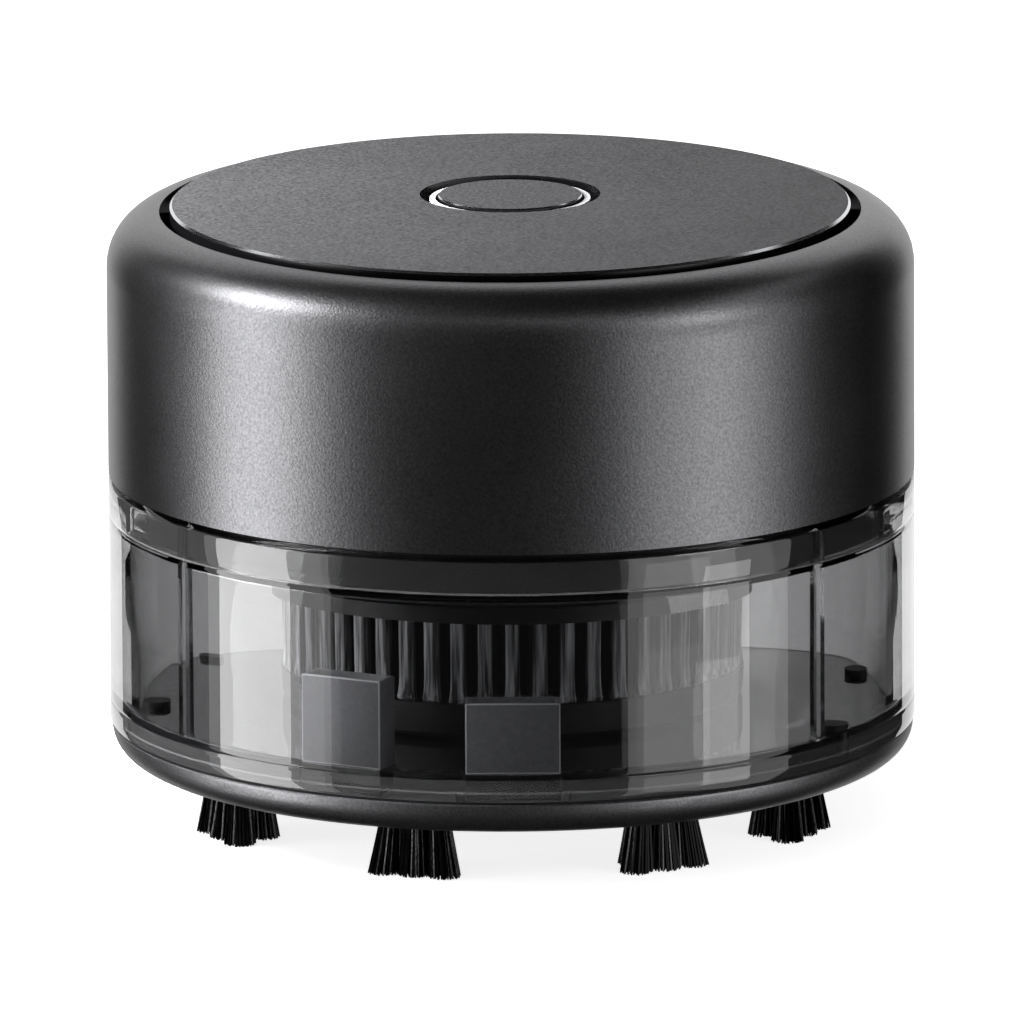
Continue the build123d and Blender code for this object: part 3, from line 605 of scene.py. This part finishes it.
# Over these shares of a pleat's height its foot flares, and its very edge tucks in.
flare_height, tuck_height = 0.3, 0.05
# The paper's inner side has folds narrower by this share, and roots wider by these degrees per mm.
fold_narrowing, root_widening = 0.55, 0.3
# Across a fold, from -1 to 1, and its height there: three low ridges with dips between them.
fold_profile = (
    (-1.0, -0.55), (-0.97, -0.12), (-0.62, 0.0), (-0.3, -0.1), (0.0, 0.0), (0.3, -0.1),
    (0.62, 0.0), (0.97, -0.12), (1.0, -0.55))


def flare(level):
    """How far a pleat's fold spreads near its foot, from 0 to 1, and pulls in at its very edge."""
    up = (level - pleat_low) / (pleat_high - pleat_low)
    return max(0, 1 - up / flare_height) ** 2, max(0, 1 - up / tuck_height) ** 2


def pleat_path(level, inwards):
    """One closed zigzag at a level; inwards moves it into the paper."""
    spread, tuck = flare(level)
    half_tip = pitch * (fold_half_share + fold_flare_share * spread)
    half_root = pitch * root_half_share
    tip = pleat_tip - fold_setback + fold_setback * spread - edge_tuck * tuck
    narrow = 1 - inwards / paper_thickness * fold_narrowing
    root = (half_root + inwards * root_widening, pleat_root + root_rise - inwards)
    points = []
    for i in range(pleat_count):
        centre = i * pitch
        points.append((centre - pitch / 2, pleat_root - inwards))
        points.append((centre - root[0], root[1]))
        for across, rise in fold_profile:
            points.append((centre + across * half_tip * narrow, tip + rise * fold_depth - inwards))
        points.append((centre + root[0], root[1]))
    return [
        Vector((r * math.sin(math.radians(a)), -r * math.cos(math.radians(a)), level)) * mm
        for a, r in points]


def pleats():
    """The paper as a closed sheet: outside up, inside down."""
    shape = bmesh.new()
    outside = [pleat_path(level, 0) for level in pleat_levels]
    inside = [pleat_path(level, paper_thickness) for level in reversed(pleat_levels)]
    skin(shape, outside + inside)
    bmesh.ops.recalc_face_normals(shape, faces=shape.faces)
    return shape


new_piece("filter_paper", pleats(), paper_finish, "filter", "filter_paper", "filter_pleats")

# ---------------------------------------------------------------------------------------------
# Chassis. The black moulded floor of the housing with its spigot in the cup and the filter's
# collar below. A silicone ring in the spigot's foot seals on the cup's ledge.
dress(black_plastic, "chassis")

# Black silicone rubber: a soft, dull black.
seal_finish, seal_surface = new_finish("black_silicone", IOR=1.41)
grain(seal_finish, seal_surface, 0.5 * mm, 0.003 * mm, ("111112", "161617"), (0.5, 0.6))
dress(seal_finish, "cup_seal")

# ---------------------------------------------------------------------------------------------
# Screws. Pan head screws of zinc-plated steel, cold headed and rolled: four from below into the
# housing's bosses, two into the motor's can and two through the button board.

# Bright zinc plating: a pale, slightly clouded metal.
zinc_finish, zinc_surface = new_finish("zinc_plated_steel", Metallic=1.0)
grain(zinc_finish, zinc_surface, 0.6 * mm, 0.002 * mm, ("a9abad", "b9bbbd"), (0.24, 0.34))
dress(zinc_finish, "chassis_screws", "motor_screws", "board_screws")

# ---------------------------------------------------------------------------------------------
# Fan. A black moulded drum with outlets in its wall stands on the chassis and carries the motor.
# Inside it a light nylon fan with curved blades, moulded in one, sits on the motor's shaft.
dress(black_plastic, "fan_housing")

# Undyed nylon: a waxy, warm off-white.
nylon_finish, nylon_surface = new_finish("natural_nylon", IOR=1.53)
grain(nylon_finish, nylon_surface, 0.5 * mm, 0.003 * mm, ("c9c7c0", "d4d2cb"), (0.4, 0.5))
dress(nylon_finish, "impeller")

# ---------------------------------------------------------------------------------------------
# Motor. A drawn steel can with two ferrite magnets against its wall, bronze bushes at both ends,
# a plastic end cap, and an armature of stacked iron wound with copper wire.

# Nickel-plated drawn steel: smooth and warm grey, with soft reflections.
steel_finish, steel_surface = new_finish("drawn_nickel_plated_steel", Metallic=1.0)
grain(steel_finish, steel_surface, 0.5 * mm, 0.002 * mm, ("9a9a98", "b0b0ae"), (0.26, 0.36))
dress(steel_finish, "motor_can", "motor_shaft", "armature_core")
dress(black_plastic, "motor_end_cap")
# Sintered ferrite: a dull charcoal ceramic.
ferrite_finish, ferrite_surface = new_finish("sintered_ferrite", IOR=1.8)
grain(ferrite_finish, ferrite_surface, 0.3 * mm, 0.01 * mm, ("2b2b2d", "363638"), (0.7, 0.8))
dress(ferrite_finish, "motor_magnets")
# Oil-filled sintered bronze: brown gold, half matt.
bronze_finish, bronze_surface = new_finish("sintered_bronze", Metallic=1.0)
grain(bronze_finish, bronze_surface, 0.3 * mm, 0.01 * mm, ("8a6a40", "a17c4c"), (0.45, 0.55))
dress(bronze_finish, "motor_bushes")
# Enamelled copper: red brown, with the winding's ridges as a coarse grain.
copper_finish, copper_surface = new_finish("enamelled_copper_wire", Metallic=1.0)
grain(copper_finish, copper_surface, 0.35 * mm, 0.02 * mm, ("8f4a26", "b5683a"), (0.25, 0.35))
dress(copper_finish, "armature_coils", "commutator")

# ---------------------------------------------------------------------------------------------
# Cells. Two round lithium cells in plain shrink sleeve lie in the chassis' saddles, held down by
# pads of foam.

# Shrink sleeve: smooth, glossy blue film.
sleeve_finish, sleeve_surface = new_finish("blue_shrink_sleeve", IOR=1.52)
grain(sleeve_finish, sleeve_surface, 0.8 * mm, 0.004 * mm, ("1f3a5c", "234066"), (0.28, 0.36))
dress(sleeve_finish, "battery_left", "battery_right")
# Polyethylene foam: matt black with open pores.
foam_finish, foam_surface = new_finish("black_pe_foam", IOR=1.4)
grain(foam_finish, foam_surface, 0.6 * mm, 0.08 * mm, ("101010", "1c1c1c"), (0.85, 0.95))
dress(foam_finish, "battery_pads")

# ---------------------------------------------------------------------------------------------
# Boards. Two glass-fibre boards under green lacquer. The upper one is screwed to the housing and
# carries the push switch and three lights. The one at the back stands on posts of the chassis
# and carries the USB-C socket.

# Solder mask: a satin dark green.
board_finish, board_surface = new_finish("green_solder_mask", IOR=1.5)
grain(board_finish, board_surface, 0.9 * mm, 0.004 * mm, ("0f3d22", "13492a"), (0.3, 0.4))
dress(board_finish, "button_board", "charge_board")
dress(black_plastic, "tact_switch", "switch_plunger")
# Stamped stainless steel: bright and cool.
socket_finish, socket_surface = new_finish("stamped_stainless_steel", Metallic=1.0)
grain(socket_finish, socket_surface, 0.4 * mm, 0.002 * mm, ("a5a6a8", "b4b5b7"), (0.22, 0.3))
dress(socket_finish, "usb_socket")

# ---------------------------------------------------------------------------------------------
# Housing shell. One ABS moulding with a round shoulder and a straight skirt, sprayed in the satin
# metallic paint. Its coat is darker and smoother than the base ring's, whose copy is painted
# lighter as painted light.
satin_paint, satin_surface = new_finish("satin_metallic_paint_on_abs", Metallic=1.0)
grain(satin_paint, satin_surface, flake_size, flake_height, ("58585a", "747476"), (0.32, 0.36))
dress(satin_paint, "housing_shell")

# ---------------------------------------------------------------------------------------------
# Top plate and button. Separate ABS discs, sprayed matte grey on top, with a bevelled rim that is
# cut bright after painting. Four pegs hold the plate to the housing's deck, and three hooks hold
# the button under the light ring.

# Matte textured paint: an even grey. Its grain of about 0.1 mm is drawn at 0.36 mm, so it shows.
plate_finish, plate_surface = new_finish("matte_grey_paint_on_abs", IOR=1.35)
grain(plate_finish, plate_surface, 0.36 * mm, 0.03 * mm, ("1c1c1d", "444446"), (0.62, 0.7))
# How far a face has to look up to count as the painted top, and as the bright bevel.
top_steepness, bevel_steepness = 0.95, 0.3


def steeper(finish, level):
    """1 where a surface looks up by more than a level from 0, upright, to 1, flat; else 0."""
    sides = add(finish, "ShaderNodeSeparateXYZ", {
        "Vector": add(finish, "ShaderNodeTexCoord").outputs["Normal"]})
    return add(finish, "ShaderNodeMath", {
        0: sides.outputs["Z"], 1: level}, operation="GREATER_THAN").outputs[0]


def edged(finish, surface):
    """Paint on the top only: a cut bright bevel below it, and bare glossy black on the sides."""
    top, bevel = steeper(finish, top_steepness), steeper(finish, bevel_steepness)
    for socket, painted, cut_edge, side in (
            ("Base Color", None, paint("dcdde0"), paint("060607")),
            ("Roughness", None, 0.18, 0.22), ("Metallic", 0.0, 1.0, 0.0)):
        kind = "RGBA" if socket == "Base Color" else "FLOAT"
        one, other, made = (6, 7, 2) if kind == "RGBA" else (2, 3, 0)
        if painted is None:
            painted = surface.inputs[socket].links[0].from_socket
        lower = add(finish, "ShaderNodeMix", {
            "Factor": bevel, one: side, other: cut_edge}, data_type=kind)
        whole = add(finish, "ShaderNodeMix", {
            "Factor": top, one: lower.outputs[made], other: painted}, data_type=kind)
        finish.node_tree.links.new(whole.outputs[made], surface.inputs[socket])
    bump = surface.inputs["Normal"].links[0].from_node
    finish.node_tree.links.new(top, bump.inputs["Strength"])


edged(plate_finish, plate_surface)
dress(plate_finish, "top_plate", "button_cap")

# ---------------------------------------------------------------------------------------------
# Light ring. Moulded in frosted clear polycarbonate, round the button, with a flange under the
# top plate and a tube down to three lights that feed it.

# Frosted polycarbonate: milky and bright, with a soft gloss.
ring_finish, ring_surface = new_finish("frosted_polycarbonate", IOR=1.58)
grain(ring_finish, ring_surface, 0.5 * mm, 0.003 * mm, ("b9babd", "c6c6c9"), (0.2, 0.28))
dress(ring_finish, "indicator_leds")
# Radius and level in millimetres: up the bore, over the lip, round the flange and down the tube.
ring_section = [
    (7.75, 60.2), (7.75, 63.76), (7.8, 63.81), (8.35, 63.81), (8.4, 63.76), (8.4, 62.3),
    (10.4, 62.3), (10.4, 61.7), (8.8, 61.7), (8.8, 60.2),
]
ring_columns = 120
ring_offset = 4.3 * mm
shape = turned(ring_section, [i * 360 / ring_columns for i in range(ring_columns)])
bmesh.ops.translate(shape, vec=(0, ring_offset, 0), verts=shape.verts)
new_piece("light_ring_moulding", shape, ring_finish, "housing", "light_guide", "light_ring")

# ---------------------------------------------------------------------------------------------
# Studio. A white floor and surround, soft boxes on both sides at two heights, a small lamp close
# by on the left, and five panels of dark cloth that only reflections and the clear cup show.
bpy.context.scene.view_settings.view_transform = "Standard"


def seen_by(finish, *rays):
    """1 for the kinds of ray that are named and 0 for the others."""
    path = add(finish, "ShaderNodeLightPath")
    total = path.outputs[rays[0]]
    for ray in rays[1:]:
        both = add(finish, "ShaderNodeMath", {0: total, 1: path.outputs[ray]}, operation="MAXIMUM")
        total = both.outputs[0]
    return total


def panel(name, width, height):
    """A flat rectangle for the stage, in metres, facing +Z."""
    mesh = bpy.data.meshes.new(name)
    corners = ((-1, -1), (1, -1), (1, 1), (-1, 1))
    mesh.from_pydata([(x * width / 2, y * height / 2, 0) for x, y in corners], [], [range(4)])
    thing = stand(bpy.data.objects.new(name, mesh))
    return thing


# The floor glows for the camera only, so that it shows white and still keeps the shadow.
floor_side = 6.0
floor_glow_strength = 0.82
floor = panel("floor", floor_side, floor_side)
floor.visible_glossy = floor.visible_shadow = floor.visible_transmission = False
floor_finish, floor_surface = new_finish(
    "white_floor", Base_Color=paint("f4f4f4"), Roughness=0.9, IOR=1.3,
    Emission_Color=paint("ffffff"))
floor_glow = add(floor_finish, "ShaderNodeMath", {
    0: seen_by(floor_finish, "Is Camera Ray"), 1: floor_glow_strength}, operation="MULTIPLY")
floor_finish.node_tree.links.new(
    floor_glow.outputs[0], floor_surface.inputs["Emission Strength"])
floor.data.materials.append(floor_finish)

# The surround lights the vacuum softly, and is white to the camera, to reflections and through
# the clear cup.
world = bpy.data.worlds.new("studio")
bpy.context.scene.world = world
world.use_nodes = True
world.node_tree.nodes.clear()
fill_light = add(world, "ShaderNodeBackground", {"Color": paint("ffffff"), "Strength": 0.3})
white_surround = add(world, "ShaderNodeBackground", {"Color": paint("ffffff"), "Strength": 1.0})
surround = add(world, "ShaderNodeMixShader", {
    "Fac": seen_by(world, "Is Camera Ray", "Is Glossy Ray", "Is Transmission Ray"),
    1: fill_light.outputs[0], 2: white_surround.outputs[0]})
add(world, "ShaderNodeOutputWorld", {"Surface": surround.outputs[0]})

vacuum_middle = Vector((0, 0, 0.035))


def face_vacuum(thing, bearing, elevation, distance):
    """Puts a lamp or panel on a bearing and at an elevation, facing the vacuum."""
    turn, rise = math.radians(bearing), math.radians(elevation)
    direction = Vector((
        math.sin(turn) * math.cos(rise), -math.cos(turn) * math.cos(rise), math.sin(rise)))
    thing.location = vacuum_middle + distance * direction
    thing.rotation_euler = (-direction).to_track_quat("-Z", "Y").to_euler()


def soft_box(name, bearing, elevation, distance, width, height, radiance):
    """A rectangular lamp of even brightness, in watts per square metre and steradian."""
    lamp = stand(bpy.data.objects.new(name, bpy.data.lights.new(name, "AREA")))
    lamp.data.shape = "RECTANGLE"
    lamp.data.size, lamp.data.size_y = width, height
    lamp.data.energy = radiance * math.pi * width * height
    lamp.visible_camera = False
    face_vacuum(lamp, bearing, elevation, distance)
    return lamp


def flag(name, bearing, elevation, distance, width, height, finish):
    """A cloth panel that only reflections and the clear cup show."""
    cloth = panel(name, width, height)
    cloth.visible_camera = cloth.visible_diffuse = cloth.visible_shadow = False
    cloth.data.materials.append(finish)
    face_vacuum(cloth, bearing, elevation, distance)


# Each lamp's bearing, elevation, distance, width, height and brightness.
soft_box("soft_box_left", -78, -4, 1.0, 0.45, 1.05, 4.8)
soft_box("soft_box_left_edge", -60, -4, 1.0, 0.20, 1.05, 0.45)
soft_box("soft_box_left_high", -86, 36, 1.1, 0.5, 0.34, 16)
soft_box("soft_box_right", 62.5, -12, 1.0, 0.26, 0.3, 2.5)
soft_box("soft_box_right_edge", 47, -10, 1.1, 0.38, 0.5, 0.8)
soft_box("soft_box_right_high", 58, 22, 1.2, 0.4, 0.3, 3.8)
close_lamp = soft_box("soft_box_close_left", -95, 34, 0.13, 0.05, 0.05, 110)
close_lamp.visible_glossy = False

# Studio cloth: black and dark grey, quite matte.
black_cloth, _ = new_finish(
    "black_cloth", Base_Color=paint("101010"), Roughness=0.95, IOR=1.3)
grey_cloth, _ = new_finish(
    "grey_cloth", Base_Color=paint("4c4c4c"), Roughness=0.95, IOR=1.3)
flag("flag_front", -10, 0, 2.0, 3.7, 3.6, grey_cloth)
flag("flag_above", 0, 88, 1.7, 3.2, 3.0, black_cloth)
flag("flag_below", 0, -88, 1.0, 2.6, 2.6, black_cloth)
flag("flag_back_left", -123, 0, 2.0, 2.0, 3.2, black_cloth)
flag("flag_back_right", 117, 0, 2.0, 2.5, 3.2, black_cloth)
